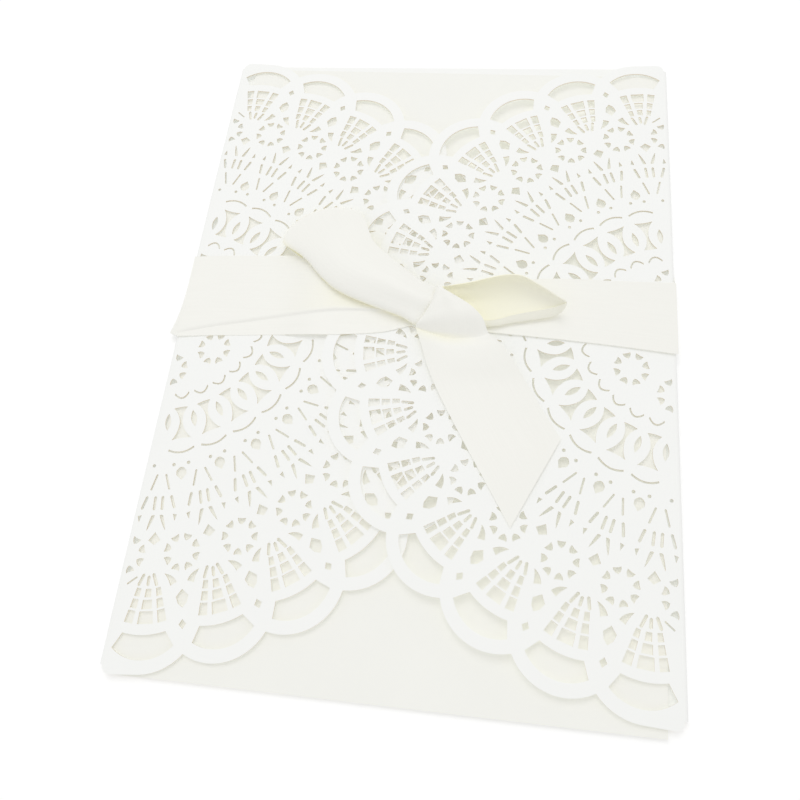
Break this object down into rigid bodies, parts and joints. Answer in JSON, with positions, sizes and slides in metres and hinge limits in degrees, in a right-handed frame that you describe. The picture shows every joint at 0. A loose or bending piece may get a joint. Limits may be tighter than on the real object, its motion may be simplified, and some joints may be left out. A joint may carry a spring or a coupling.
{
  "type": "laser cut wedding card",
  "caption": "Closed gatefold card with overlapping lace-cut flaps over a plain insert sheet, tied across the front with a satin ribbon bow.",
  "frame": {"origin": "on the surface that the closed card lies on, below the middle of its back panel, on the underside of the ribbon", "axes": "+X to the right and +Y up the card as it is read, +Z out of its front"},
  "size_m": [0.1314, 0.1818, 0.0138],
  "materials": {
    "card": "matt white card, laser cut",
    "insert": "plain off-white sheet",
    "satin": "ivory satin weave"
  },
  "bodies": {
    "root": {"gatefold_card": "card", "insert_sheet": "insert", "ribbon": "satin"}
  },
  "joints": []
}
